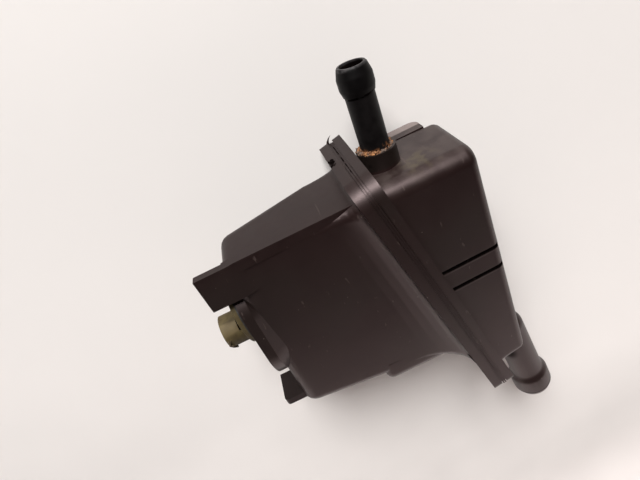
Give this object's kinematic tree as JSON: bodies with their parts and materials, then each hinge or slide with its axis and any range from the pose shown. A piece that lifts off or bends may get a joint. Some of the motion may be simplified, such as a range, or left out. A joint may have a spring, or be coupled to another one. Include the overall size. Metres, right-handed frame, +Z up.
{
  "type": "power steering reservoir",
  "caption": "Narrow two-shell welded plastic fluid reservoir with a slanted weld flange, an upright return nipple, a barbed feed spout below and a level sensor on its end wall.",
  "frame": {"origin": "The corner over the end wall where the near face of the bracket tongue meets the top of the tank.", "axes": "+X runs from the sensor end to the outer face of the cover, +Y runs away from the side with the level marks, and +Z is up as installed, with the return nipple on top and the feed spout below."},
  "size_m": [0.1177, 0.0474, 0.1783],
  "materials": {
    "shell": "satin dark brown-grey moulded nylon, dusty",
    "bead": "squeezed-out weld plastic, the shells' own",
    "nipple": "near-black satin plastic",
    "seal": "black rubber",
    "sensor": "tan natural nylon",
    "terminal": "tinned brass blades",
    "reed": "clear glass capsule",
    "lead": "drawn wire",
    "pin": "ground steel",
    "arm": "natural white acetal",
    "magnet": "sintered ferrite",
    "float": "closed-cell nitrile foam",
    "strainer": "natural nylon",
    "baffle": "moulded nylon"
  },
  "bodies": {
    "tank": {"body_shell": "shell", "cover_shell": "shell", "weld_bead": "bead", "return_nipple": "nipple", "nipple_seal": "seal", "sensor_head": "sensor", "sensor_gasket": "seal", "terminal_near": "terminal", "terminal_far": "terminal", "reed_switch": "reed", "reed_lead_short": "lead", "reed_lead_long": "lead", "float_pin": "pin", "strainer_frame": "strainer", "strainer_mesh": "strainer", "flow_baffle": "baffle"},
    "float": {"float_arm": "arm", "float_magnet": "magnet", "float_body": "float"}
  },
  "joints": [
    {"name": "float_pivot", "type": "hinge", "parent": "tank", "child": "float", "pos_m": [0.0255, 0.014, -0.0252], "axis": [0, -1, 0], "range_deg": [0, 42]}
  ]
}
